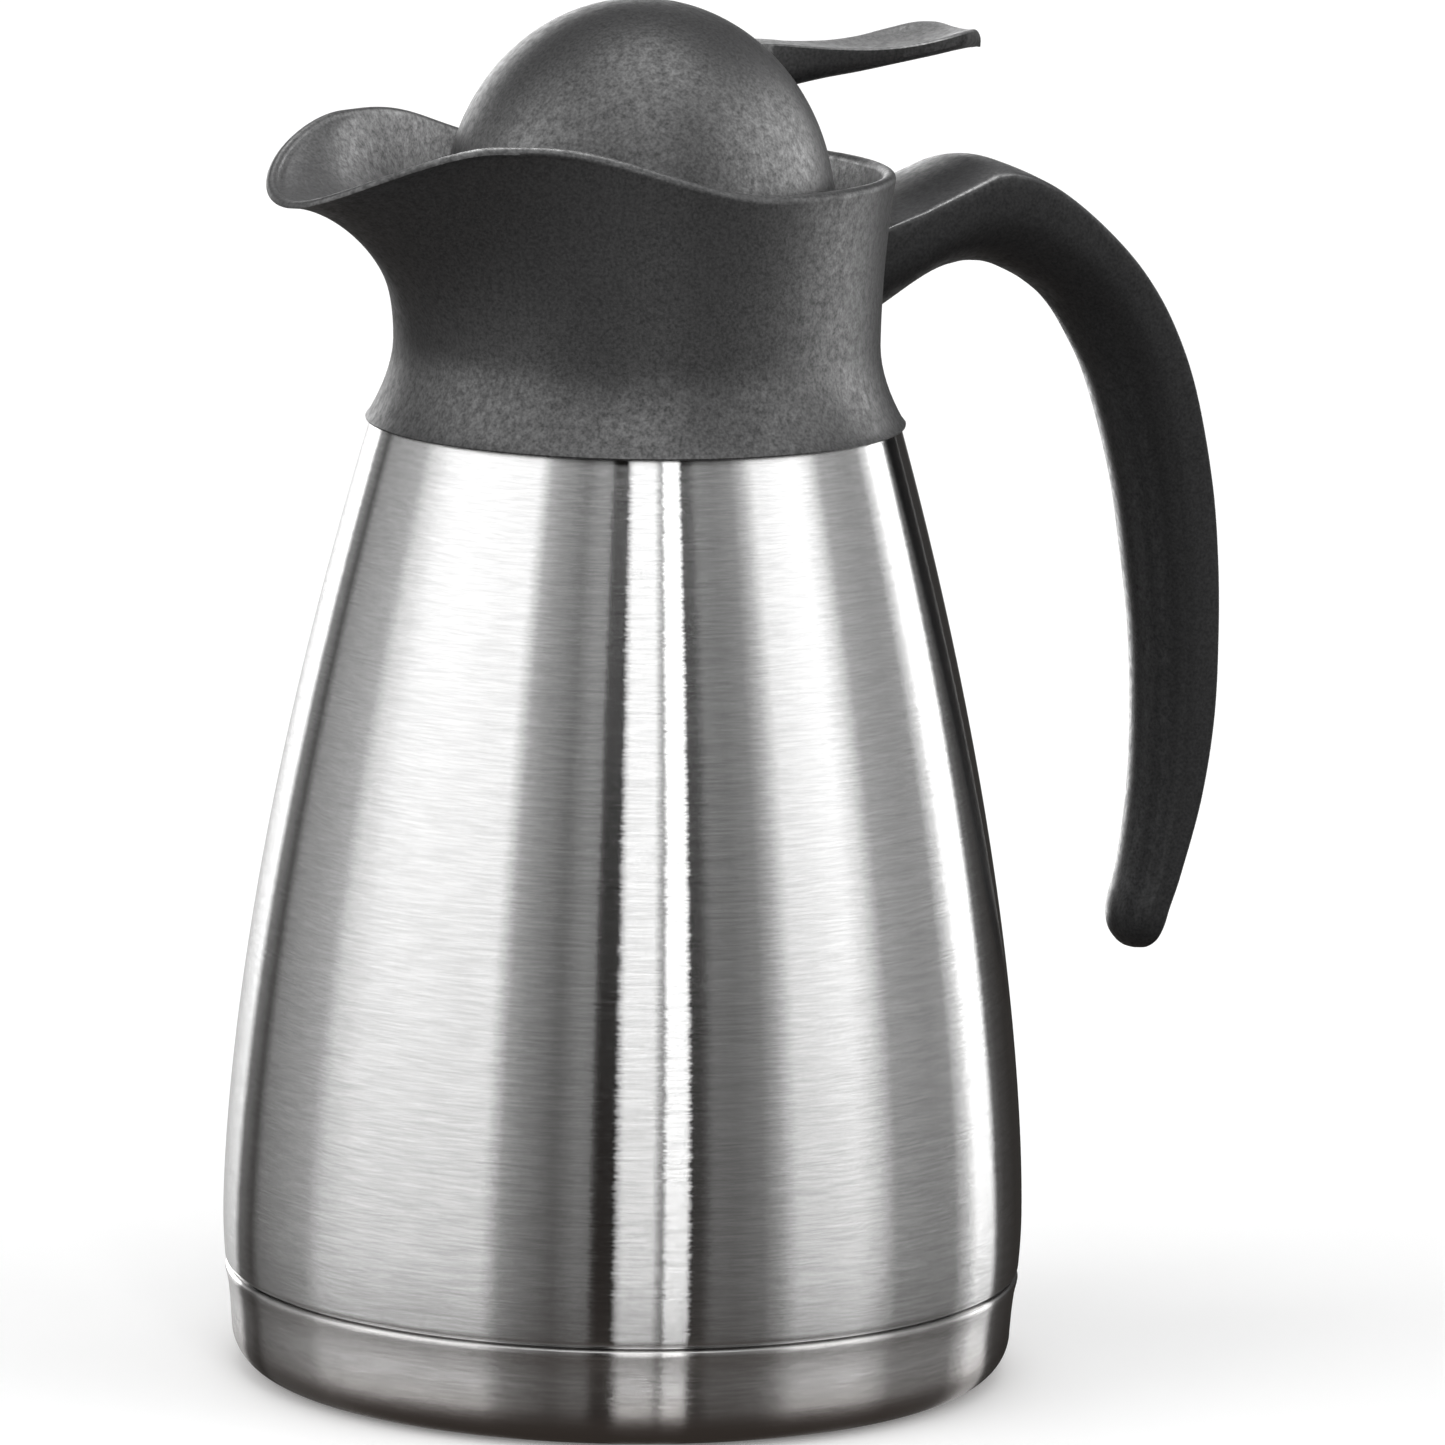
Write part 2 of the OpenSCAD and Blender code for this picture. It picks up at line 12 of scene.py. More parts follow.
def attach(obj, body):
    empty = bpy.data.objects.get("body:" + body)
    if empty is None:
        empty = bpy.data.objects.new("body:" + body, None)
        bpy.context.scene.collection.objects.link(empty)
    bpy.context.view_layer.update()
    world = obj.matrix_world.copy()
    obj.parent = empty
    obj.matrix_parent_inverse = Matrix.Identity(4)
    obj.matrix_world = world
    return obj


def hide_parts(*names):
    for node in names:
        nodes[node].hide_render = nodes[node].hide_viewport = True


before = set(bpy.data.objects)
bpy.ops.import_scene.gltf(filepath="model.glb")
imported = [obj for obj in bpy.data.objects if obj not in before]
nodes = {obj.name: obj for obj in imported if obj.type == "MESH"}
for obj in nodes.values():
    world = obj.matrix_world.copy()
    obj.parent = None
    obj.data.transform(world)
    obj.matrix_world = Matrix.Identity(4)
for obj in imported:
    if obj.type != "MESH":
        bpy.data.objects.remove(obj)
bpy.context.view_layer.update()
scene = bpy.context.scene

MM = 0.001

# Steel body
BODY_R, NECK_R = 67.0, 44.0
SEAM_Z = 17.2            # joint between body and base cup
BELLY_Z = 27.0           # widest height
COLLAR_Z = 160.2         # foot of the collar
STEEL = 0.8              # sheet thickness
CUP_R = BODY_R - 1.6     # base cup, where its rounded corner ends
CUP_CORNER = 7

# Collar
WAIST_R, WAIST_Z = 40.4, 173.5
FOOT_FLARE = 4.5         # extra radius at the collar's foot
RIM_R = 42.4
SPOUT_REACH = 24.2       # extra rim radius at the spout
RIM_TIP_Z, RIM_PEAK_Z = 200.3, 210.9
RIM_BACK_DROP = 8.4      # fall of the rim from its peak to the handle side
LIP_DROP = 1.2           # from the rim's top to where its rounded lip starts
MOUTH_R, MOUTH_Z = 37.8, 189.6

# Handle
ROOT_HALF_WIDTH, TAIL_HALF_WIDTH = 13, 7
ROOT_GAP = 0.25

# Dome
DOME_R, DOME_INNER_R = 32.5, 29.7
DOME_Z, DOME_TOP_Z = 195.0, 230.5
DOME_INNER_TOP_Z = DOME_TOP_Z - 2.3
SLOT_X, SLOT_Z = 19.0, 211.4       # inner end and floor of the lever's slot
SLOT_HALF_WIDTH, SLOT_ROUNDING = 5.2, 1.2

# Lever
PIVOT_X, PIVOT_Z = 15.5, 212.0
HUB_R, HUB_HALF_WIDTH = 3.6, 4.8
BORE_R = 1.56
ARM_HALF_WIDTH, FINGER_INNER_Y = 4.6, 3
WEB_HALF_WIDTH = 3.4


# ------------------------------------------------------------------ curves
def smooth(t):
    t = max(0.0, min(1.0, t))
    return t * t * (3 - 2 * t)


def catmull(points, s):
    """Catmull-Rom curve through the points; s counts them from 0."""
    points = np.asarray(points, float)
    last = len(points) - 1
    i = int(min(last - 1, math.floor(s)))
    t = s - i
    a, b, c, d = points[max(0, i - 1)], points[i], points[i + 1], points[min(last, i + 2)]
    return 0.5 * (2 * b + (c - a) * t + (2 * a - 5 * b + 4 * c - d) * t * t
                  + (3 * b - a - 3 * c + d) * t ** 3)


def bend(start, corner, end, t):
    """Quadratic curve that rounds a corner."""
    return (1 - t) ** 2 * start + 2 * t * (1 - t) * corner + t * t * end


def arc(across, up, radius, angles, radius_up=None):
    """Points on a circle, or on an ellipse when radius_up is given."""
    radius_up = radius if radius_up is None else radius_up
    return [(across + radius * math.cos(a), up + radius_up * math.sin(a)) for a in angles]


def body_radius(z):
    if z > BELLY_Z:
        rise = (z - BELLY_Z) / (COLLAR_Z - BELLY_Z)
        return BODY_R - (BODY_R - NECK_R) * rise ** 1.66
    return BODY_R - 0.5 * ((BELLY_Z - z) / (BELLY_Z - SEAM_Z)) ** 2


# Collar curves take an angle in degrees, 0 at the spout and 180 at the handle.
def rim_radius(angle):
    return RIM_R + SPOUT_REACH * math.exp(-((abs(angle) / 31.5) ** 2.3))


def rim_height(angle):
    angle = abs(angle)
    if angle < 37:
        return RIM_TIP_Z + (RIM_PEAK_Z - RIM_TIP_Z) * smooth(angle / 33)
    return RIM_PEAK_Z - RIM_BACK_DROP * smooth((angle - 37) / 57)


def collar_radius(angle, z):
    if z <= WAIST_Z:
        return WAIST_R + FOOT_FLARE * ((WAIST_Z - z) / (WAIST_Z - COLLAR_Z)) ** 1.8
    t = min(1.0, (z - WAIST_Z) / (rim_height(angle) - LIP_DROP - WAIST_Z))
    spout = math.exp(-((abs(angle) / 40) ** 2))
    flare = spout * (1 - max(0.0, 1 - t ** 1.6) ** 0.57) + (1 - spout) * t * t
    return WAIST_R + (rim_radius(angle) - WAIST_R) * flare


# ------------------------------------------------------------------ mesh helpers
def link(obj):
    scene.collection.objects.link(obj)
    return obj


def tidy(mesh, weld, sharp, recalc=False):
    """Weld vertices closer than weld (metres), shade smooth, mark edges above sharp degrees."""
    bm = bmesh.new()
    bm.from_mesh(mesh)
    bmesh.ops.remove_doubles(bm, verts=bm.verts, dist=weld)
    if recalc:
        bmesh.ops.recalc_face_normals(bm, faces=bm.faces)
    bm.to_mesh(mesh)
    bm.free()
    mesh.polygons.foreach_set("use_smooth", [True] * len(mesh.polygons))
    if sharp:
        mesh.set_sharp_from_angle(angle=math.radians(sharp))


def make_mesh(name, verts, faces, sharp=32.0):
    mesh = bpy.data.meshes.new(name)
    mesh.from_pydata([tuple(c * MM for c in v) for v in verts], [], faces)
    mesh.validate()
    tidy(mesh, weld=1e-7, sharp=sharp, recalc=True)
    return link(bpy.data.objects.new(name, mesh))


def ring_mesh(name, rings, closed=False, sharp=32.0):
    """Surface through rings of equal length; closed joins last to first, else ends are capped."""
    n, m = len(rings), len(rings[0])
    verts = [tuple(p) for ring in rings for p in ring]
    faces = []
    for i in range(n if closed else n - 1):
        a, b = i * m, ((i + 1) % n) * m
        for j in range(m):
            k = (j + 1) % m
            faces.append((a + j, a + k, b + k, b + j))
    if not closed:
        faces.append(tuple(range(m - 1, -1, -1)))
        faces.append(tuple((n - 1) * m + j for j in range(m)))
    return make_mesh(name, verts, faces, sharp)


def revolve(name, profile, segments):
    """Closed profile of (radius, z) turned about Z."""
    rings = []
    for i in range(segments):
        angle = 2 * pi * i / segments
        c, s = math.cos(angle), math.sin(angle)
        rings.append([(r * c, r * s, z) for r, z in profile])
    return ring_mesh(name, rings, closed=True)


def box_mesh(name, low, high):
    (x0, y0, z0), (x1, y1, z1) = low, high
    verts = [(x0, y0, z0), (x1, y0, z0), (x1, y1, z0), (x0, y1, z0),
             (x0, y0, z1), (x1, y0, z1), (x1, y1, z1), (x0, y1, z1)]
    faces = [(0, 3, 2, 1), (4, 5, 6, 7), (0, 1, 5, 4), (1, 2, 6, 5), (2, 3, 7, 6), (3, 0, 4, 7)]
    return make_mesh(name, verts, faces)


def prism_y(name, outline, half_width):
    """Outline in (x, z) extruded along Y, equally to both sides of y = 0."""
    n = len(outline)
    verts = [(x, y, z) for y in (-half_width, half_width) for x, z in outline]
    faces = [tuple(range(n)), tuple(range(2 * n - 1, n - 1, -1))]
    faces += [(i, (i + 1) % n, n + (i + 1) % n, n + i) for i in range(n)]
    return make_mesh(name, verts, faces)


def cylinder_y(name, radius, half_width):
    """Cylinder round the lever's pivot."""
    angles = np.linspace(0, 2 * pi, 49)[:-1]
    return prism_y(name, arc(PIVOT_X, PIVOT_Z, radius, angles), half_width)


def boolean(obj, other, operation="DIFFERENCE"):
    """Cut or join the other object into obj for good, and remove the other object."""
    mod = obj.modifiers.new("boolean", "BOOLEAN")
    mod.object, mod.operation, mod.solver = other, operation, "EXACT"
    depsgraph = bpy.context.evaluated_depsgraph_get()
    depsgraph.update()
    mesh = bpy.data.meshes.new_from_object(obj.evaluated_get(depsgraph))
    old = obj.data
    obj.modifiers.clear()
    obj.data = mesh
    bpy.data.meshes.remove(old)
    tidy(mesh, weld=2e-7, sharp=32.0)
    bpy.data.objects.remove(other)


# ------------------------------------------------------------------ shader helpers
MIX_FACTOR, MIX_A, MIX_B = 0, 6, 7     # sockets of a colour Mix node


class Shader:
    """An emptied node tree, with short calls for the nodes used here."""

    def __init__(self, owner):
        owner.use_nodes = True
        self.tree = owner.node_tree
        self.tree.nodes.clear()

    def feed(self, socket, value):
        """Link a socket, or set a plain value; colours are given without alpha."""
        if isinstance(value, bpy.types.NodeSocket):
            self.tree.links.new(value, socket)
        else:
            socket.default_value = (*value, 1.0) if socket.type == "RGBA" else value

    def add(self, kind, inputs=None, **settings):
        node = self.tree.nodes.new("ShaderNode" + kind)
        for key, value in settings.items():
            setattr(node, key, value)
        for key, value in (inputs or {}).items():
            self.feed(node.inputs[key], value)
        return node

    def noise(self, vector, scale, detail=2.0, roughness=0.5):
        return self.add("TexNoise", {"Scale": scale, "Detail": detail, "Roughness": roughness,
                                     "Vector": vector}).outputs[0]

    def remap(self, value, source, target=(0.0, 1.0), kind="LINEAR"):
        """Map the source range onto the target range, clamped."""
        return self.add("MapRange", {"From Min": source[0], "From Max": source[1],
                                     "To Min": target[0], "To Max": target[1],
                                     "Value": value}, interpolation_type=kind).outputs[0]

    def ease(self, value, source):
        return self.remap(value, source, kind="SMOOTHSTEP")

    def math(self, operation, a, b):
        return self.add("Math", {0: a, 1: b}, operation=operation).outputs[0]

    def plus(self, a, b):
        return self.math("ADD", a, b)

    def times(self, a, b):
        return self.math("MULTIPLY", a, b)

    def vector(self, operation, *values):
        return self.add("VectorMath", dict(enumerate(values)), operation=operation)

    def combine(self, *values):
        return self.add("CombineXYZ", dict(enumerate(values))).outputs[0]

    def mix(self, factor, a, b):
        inputs = {MIX_FACTOR: factor, MIX_A: a, MIX_B: b}
        return self.add("Mix", inputs, data_type="RGBA").outputs[2]

    def bump(self, height, strength, distance):
        return self.add("Bump", {"Strength": strength, "Distance": distance,
                                 "Height": height}).outputs[0]


class Material(Shader):
    """A material with one Principled shader."""

    def __init__(self, name):
        self.material = bpy.data.materials.new(name)
        super().__init__(self.material)
        output = self.add("OutputMaterial")
        self.principled = self.add("BsdfPrincipled")
        self.feed(output.inputs[0], self.principled.outputs[0])

    def position(self):
        return self.add("TexCoord").outputs["Object"]

    def set(self, inputs):
        for key, value in inputs.items():
            self.feed(self.principled.inputs[key], value)


def scaled(color, factor):
    return tuple(c * factor for c in color)


# ------------------------------------------------------------------ materials
GRAIN_SIZE = 0.00028     # metres


def grain_plastic(name, base, rough, grain, spec=0.5, speck=0.5):
    """Moulded plastic with fine pits, and lighter flecks where they catch the light.

    grain is the bump strength, spec the specular level, speck the contrast of the flecks.
    """
    mat = Material(name)
    place = mat.position()
    pits = mat.noise(place, scale=0.55 / GRAIN_SIZE, detail=1.0)
    patches = mat.noise(place, scale=0.20 / GRAIN_SIZE, roughness=0.55)
    cloud = mat.noise(place, scale=38.0, detail=3.0)
    cells = mat.add("TexVoronoi", {"Scale": 0.8 / GRAIN_SIZE, "Vector": place}, feature="F1")

    fine = mat.remap(pits, source=(0.32, 0.68))
    medium = mat.remap(patches, source=(0.32, 0.68))
    tone = mat.remap(cloud, source=(0.3, 0.7))
    flecks = mat.plus(mat.times(fine, 0.6), mat.times(medium, 0.4))
    color = mat.mix(flecks, scaled(base, 1 - 0.55 * speck), scaled(base, 1 + 0.75 * speck))
    level = mat.remap(flecks, source=(0.0, 1.0), target=(0.55, 1.45))
    height = mat.plus(mat.times(pits, 0.7), mat.times(cells.outputs["Distance"], 0.5))
    mat.set({
        "Base Color": mat.mix(mat.times(tone, 0.16), color, scaled(base, 0.6)),
        "Roughness": mat.plus(
            mat.remap(patches, source=(0.35, 0.65), target=(rough + 0.06, rough - 0.06)),
            mat.remap(cloud, source=(0.3, 0.7), target=(-0.02, 0.02))),
        "Specular IOR Level": mat.times(level, spec),
        "Normal": mat.bump(height, strength=grain, distance=0.00006),
    })
    return mat.material


def brushed_steel(name, base, rough, aniso, painted_reflection_below=None):
    """Steel with long fine scratches that run round the axis.

    The optional last argument is (lower z, upper z, colour): a painted reflection of the dark, warm
    surroundings below; the colour is full at the lower height and fades out by the upper one.
    """
    fray = 0.021         # sideways lean of the surface along the scratches
    spread = 0.62        # random lean up and down, across the scratches
    ripple = 0.09        # up and down lean that follows the fine scratches

    mat = Material(name)
    place = mat.position()
    axes = mat.add("SeparateXYZ", {0: place}).outputs
    # unit direction from the axis, so scratches keep one angular length at every radius
    outward = mat.vector("NORMALIZE", mat.combine(axes[0], axes[1])).outputs[0]
    around = mat.add("SeparateXYZ", {0: outward}).outputs

    def streaks(per_turn, per_metre, detail=1.0):
        stretched = mat.combine(mat.times(around[0], per_turn), mat.times(around[1], per_turn),
                                mat.times(axes[2], per_metre))
        return mat.noise(stretched, scale=1.0, detail=detail)

    fine = streaks(per_turn=11.0, per_metre=3600.0)
    medium = streaks(per_turn=6.0, per_metre=1900.0)
    broad = streaks(per_turn=2.6, per_metre=700.0, detail=2.0)
    ticks = streaks(per_turn=30.0, per_metre=3000.0)
    cloud = mat.noise(place, scale=26.0, detail=3.0)

    brushing = mat.plus(mat.times(fine, 0.45),
                        mat.plus(mat.times(medium, 0.35), mat.times(broad, 0.2)))
    color = mat.mix(mat.remap(brushing, source=(0.38, 0.62)),
                    scaled(base, 1 - 0.07), scaled(base, 1 + 0.05))
    # painted reflection: towards the bottom the colour turns darker and warmer, standing in for the
    # dark surroundings below that the steel reflects there
    if painted_reflection_below:
        low, high, reflection_tint = painted_reflection_below
        painted_reflection_share = mat.remap(axes[2], source=(low, high), target=(1.0, 0.0))
        color = mat.mix(painted_reflection_share, color, reflection_tint)

    # each scratch leans the normal a little, which frays the edges of reflections
    lean = mat.times(mat.math("SUBTRACT", ticks, 0.5), fray)
    lean_x = mat.times(mat.times(around[1], -1.0), lean)
    lean_y = mat.times(around[0], lean)
    speckle_a = mat.add("TexWhiteNoise", {"Vector": place}, noise_dimensions="3D").outputs[0]
    speckle_b = mat.add("TexWhiteNoise", {"Vector": place, "W": 3.7},
                        noise_dimensions="4D").outputs[0]
    hair = mat.math("SUBTRACT", mat.plus(speckle_a, speckle_b), 1.0)
    lean_z = mat.plus(mat.times(hair, spread),
                      mat.times(mat.math("SUBTRACT", fine, 0.5), ripple))
    leaning = mat.vector("ADD", mat.add("NewGeometry").outputs["Normal"],
                         mat.combine(lean_x, lean_y, lean_z)).outputs[0]
    mat.set({
        "Base Color": color,
        "Metallic": 1.0,
        "Roughness": mat.plus(
            mat.remap(medium, source=(0.35, 0.65), target=(rough - 0.012, rough + 0.012)),
            mat.remap(cloud, source=(0.3, 0.7), target=(-0.008, 0.008))),
        "Anisotropic": aniso,
        "Anisotropic Rotation": 0.25,
        "Tangent": mat.add("Tangent", direction_type="RADIAL", axis="Z").outputs[0],
        "Normal": mat.vector("NORMALIZE", leaning).outputs[0],
    })
    return mat.material


def mottled(name, base, dark, cloud_scale, fine, rough, bump):
    """Even material: clouded colour, with one fine noise for roughness and bump.

    dark scales the colour of the darker clouds, fine holds the settings of the fine noise,
    rough is the range of roughness.
    """
    mat = Material(name)
    place = mat.position()
    grain = mat.noise(place, **fine)
    cloud = mat.remap(mat.noise(place, scale=cloud_scale), source=(0.3, 0.7))
    mat.set({
        "Base Color": mat.mix(cloud, scaled(base, dark), base),
        "Roughness": mat.remap(grain, source=(0.3, 0.7), target=rough),
        "Normal": mat.bump(grain, strength=bump, distance=0.00005),
    })
    return mat


def plain_steel(name, base, rough, scale=2500.0):
    mat = mottled(name, base, dark=0.85, cloud_scale=60.0,
                  fine=dict(scale=scale, detail=3.0, roughness=0.6),
                  rough=(rough - 0.08, rough + 0.1), bump=0.1)
    mat.set({"Metallic": 1.0})
    return mat.material


def silicone(name, base):
    mat = mottled(name, base, dark=0.9, cloud_scale=70.0, fine=dict(scale=500.0),
                  rough=(0.38, 0.52), bump=0.15)
    mat.set({"Subsurface Weight": 0.2, "Subsurface Radius": (0.002, 0.002, 0.002),
             "Subsurface Scale": 0.5})
    return mat.material


STEEL_BODY = brushed_steel("steel_body", base=(0.70, 0.70, 0.70), rough=0.07, aniso=0.95)
# the base cup's colour darkens and warms over its lowest 11 mm: a painted reflection of the dark
# surroundings below
STEEL_BASE = brushed_steel("steel_base", base=(0.72, 0.71, 0.705), rough=0.15, aniso=0.92,
                           painted_reflection_below=(0.001, 0.011, (0.30, 0.265, 0.245)))
STEEL_INNER = brushed_steel("steel_inner", base=(0.66, 0.65, 0.63), rough=0.35, aniso=0.6)
STEEL_PLATE = plain_steel("steel_plate", base=(0.5, 0.49, 0.47), rough=0.4, scale=900.0)
SCREW = plain_steel("screw_steel", base=(0.55, 0.55, 0.54), rough=0.32)
PIN = plain_steel("pin_steel", base=(0.6, 0.6, 0.59), rough=0.22, scale=3000.0)
VALVE_STEEL = plain_steel("valve_steel", base=(0.62, 0.61, 0.59), rough=0.25)
SPRING = plain_steel("spring_steel", base=(0.58, 0.58, 0.57), rough=0.25)
GETTER = plain_steel("getter_pill", base=(0.28, 0.28, 0.29), rough=0.7)
BRAZE = plain_steel("braze", base=(0.45, 0.43, 0.4), rough=0.5, scale=1500.0)

BLACK = (0.012, 0.012, 0.0126)
COLLAR = grain_plastic("collar_plastic", BLACK, rough=0.45, grain=0.35, spec=1.0)
DOME = grain_plastic("dome_plastic", BLACK, rough=0.45, grain=0.35, spec=1.0)
HANDLE = grain_plastic("handle_plastic", (0.0105, 0.0105, 0.011), rough=0.42, grain=0.22,
                       spec=0.4, speck=0.3)
LEVER = grain_plastic("lever_plastic", BLACK, rough=0.42, grain=0.3, spec=0.9)
RING = grain_plastic("ring_plastic", (0.022, 0.022, 0.023), rough=0.42, grain=0.25, speck=0.25)
LOCK = grain_plastic("lock_plastic", (0.024, 0.024, 0.025), rough=0.42, grain=0.25, speck=0.25)
STOPPER = grain_plastic("stopper_plastic", (0.024, 0.024, 0.025), rough=0.4, grain=0.25,
                        speck=0.25)
VALVE = grain_plastic("valve_plastic", (0.03, 0.03, 0.031), rough=0.4, grain=0.2, speck=0.2)
SEAL = silicone("seal_silicone", base=(0.55, 0.55, 0.53))


def set_material(obj, material):
    obj.data.materials.clear()
    obj.data.materials.append(material)


def finish_piece(obj, material, body, slot, *replaced):
    set_material(obj, material)
    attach(obj, body)
    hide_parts(*replaced)
    return obj


# ------------------------------------------------------------------ steel body
def make_shell():
    edge = body_radius(SEAM_Z + 1.0)
    top = COLLAR_Z - 0.4
    # all profiles are (radius, z); this one starts with the edge rolled in at the seam
    outer = [(edge - 1.35, SEAM_Z + 0.62), (edge - 0.9, SEAM_Z + 0.45),
             (edge - 0.45, SEAM_Z + 0.52), (edge - 0.16, SEAM_Z + 0.75),
             (body_radius(SEAM_Z + 1.2) - 0.03, SEAM_Z + 1.15),
             (body_radius(SEAM_Z + 1.5), SEAM_Z + 1.5)]
    outer += [(body_radius(z), z) for z in np.arange(SEAM_Z + 1.9, top, 1.2)]
    outer += [(body_radius(top), top)]
    # shoulder, then the neck with a groove round it
    outer += [(43.9, 160.4), (43.3, 160.9), (42.0, 161.4), (38.0, 162.2), (35.0, 163.1),
              (33.8, 164.3), (33.3, 165.4), (33.2, 166.5), (33.2, 169.6), (33.05, 169.9),
              (32.6, 170.4), (32.6, 172.6), (33.05, 173.1), (33.2, 173.4), (33.2, 177.8),
              (33.0, 178.0)]
    inner = [(32.5, 178.0), (32.4, 177.9), (32.4, 173.7), (31.8, 172.8), (31.8, 170.2),
             (32.4, 169.2), (32.4, 165.6), (33.0, 163.6), (34.6, 162.3), (37.8, 161.4),
             (41.6, 160.6)]
    inner += [(body_radius(z) - STEEL, z) for z in np.arange(COLLAR_Z - 2, SEAM_Z + 2.2, -4.0)]
    inner += [(edge - 1.35, SEAM_Z + 1.4)]
    return revolve("outer_shell_visual", outer + inner, segments=288)


def make_base_cup():
    corner_r = CUP_R - CUP_CORNER
    # underside: raised centre, foot ring, rounded corner
    cup = [(0.0, 2.2), (20, 2.2), (40, 2.2), (47.6, 2.2), (49.2, 2.0), (50.4, 1.3),
           (51.3, 0.5), (52.2, 0.08), (53.0, 0.0), (56.0, 0.0)]
    cup += arc(corner_r, CUP_CORNER, CUP_CORNER, np.linspace(-pi / 2, 0, 17))
    # side wall, bead at the seam, and the sleeve that goes up inside the body
    cup += [(65.52, 8.6), (65.66, 10.6), (65.85, 12.4), (66.05, 14.0), (66.3, 15.2),
            (66.5, 16.0), (66.58, 16.45), (66.5, 16.85), (66.25, 17.1), (65.9, 17.2),
            (65.4, 17.2), (65.2, 17.3), (65.1, 17.5), (65.1, 21.0), (65.0, 21.2),
            (64.5, 21.2), (64.3, 21.0), (64.3, 16.2), (65.0, 14.8), (64.6, 9.0)]
    # back along the inside to the axis
    cup += arc(corner_r, CUP_CORNER, CUP_CORNER - STEEL, np.linspace(0, -pi / 2, 9))
    cup += [(53.0, 0.8), (52.3, 1.2), (50.8, 2.6), (48.4, 3.0), (40, 3.0), (20, 3.0),
            (0.0, 3.0)]
    return revolve("base_cup_visual", cup, segments=256)


finish_shell = finish_piece(make_shell(), STEEL_BODY, "root", "steel_body", "outer_shell")
finish_piece(make_base_cup(), STEEL_BASE, "root", "steel_base", "base_cup")
shell = finish_shell


# ------------------------------------------------------------------ collar with spout
def collar_section(angle):
    rim_r, rim_z = rim_radius(angle), rim_height(angle)
    points = [(44.62, 160.2), (44.82, 160.28), (44.88, 160.5)]
    heights = [161.2, 162, 163, 164.2, 165.6, 167, 168.6, 170.2, 171.8, WAIST_Z]
    for t in [*np.linspace(0.06, 0.84, 17), 0.875, 0.905, 0.93, 0.95, 0.967, 0.981, 0.992, 1.0]:
        heights.append(WAIST_Z + t * (rim_z - LIP_DROP - WAIST_Z))
    points += [(collar_radius(angle, z), z) for z in heights]
    # rounded lip
    points += arc(rim_r - 1.08, rim_z - 1.0, 1.08, np.radians(np.linspace(15, 165, 9)), 1.0)
    # inner wall, which flares with the outer one
    spout = math.exp(-((abs(angle) / 34) ** 2))
    for s in [0.993, 0.98, 0.962, *np.linspace(0.94, 0.06, 22), 0.03, 0.01, 0.0]:
        flare = (spout * (0.4 * s ** 0.95 + 0.6 * (1 - (1 - s ** 1.6) ** 0.57))
                 + (1 - spout) * s ** 0.8)
        points.append((MOUTH_R + (rim_r - 2.2 - MOUTH_R) * flare,
                       MOUTH_Z + (rim_z - 0.9 - MOUTH_Z) * s))
    # inward ledge, then the hidden inside down to the foot
    points += [(36.5, 189.6), (33.95, 189.6), (33.75, 189.4), (33.75, 187.35),
               (38.4, 187.35), (38.2, 181), (38.1, 173.5), (38.6, 169), (40, 165.4),
               (41.6, 163.3), (43.4, 161.7), (44.3, 160.9), (44.42, 160.3)]
    return points


def make_collar():
    count = 360
    rings = []
    for i in range(count):
        # sections are closer together at the spout
        turn = i / count
        angle = 360 * turn - 24 * math.sin(2 * pi * turn)
        angle = angle if angle <= 180 else angle - 360
        c, s = math.cos(math.radians(angle)), math.sin(math.radians(angle))
        rings.append([(-r * c, r * s, z) for r, z in collar_section(angle)])
    return ring_mesh("spout_collar_visual", rings, closed=True, sharp=50)


collar = finish_piece(make_collar(), COLLAR, "root", "collar_plastic", "spout_collar")

# ------------------------------------------------------------------ handle
# outer edge x, z; inner edge x, z; taper of the width (0 root, 1 tail); crown of the outer face
HANDLE_STATIONS = [
    [41, 191.6, 41, 174.8, 0, 0.6], [48, 194.2, 48.2, 179.6, 0.02, 1.1],
    [56.5, 197.3, 54.8, 182.7, 0.05, 1.8], [63.9, 200, 61.5, 184, 0.1, 2.1],
    [71, 198.3, 67, 183.4, 0.12, 1.1], [78, 194.4, 72.4, 181.4, 0.15, 0.7],
    [86, 188, 77.6, 178.5, 0.18, 0.7], [92.8, 181, 82, 174.8, 0.22, 0.8],
    [98.6, 172.4, 86, 169.2, 0.27, 1], [103.6, 161, 90.2, 161.2, 0.34, 1.2],
    [107.8, 145, 94.9, 146.2, 0.47, 1.5], [109.8, 131, 97.6, 131.8, 0.57, 1.7],
    [110.6, 117, 99.6, 117.6, 0.66, 1.8], [110.5, 103, 100.3, 103.4, 0.76, 1.8],
    [108.7, 89.3, 100, 90, 0.86, 1.8], [105.3, 76.4, 98.4, 77.4, 0.96, 1.7],
    [103.4, 70.6, 96.7, 71.8, 1.02, 1.6], [102.5, 67.3, 96.3, 68.6, 1.07, 1.4],
    [101.6, 65, 96.9, 66, 1.2, 1.1], [100.7, 63.6, 98.1, 64.1, 1.5, 0.6],
    [99.8, 63.2, 98.9, 63.3, 1.85, 0.2]]
BEND_STATION = 3         # where the outer edge turns down


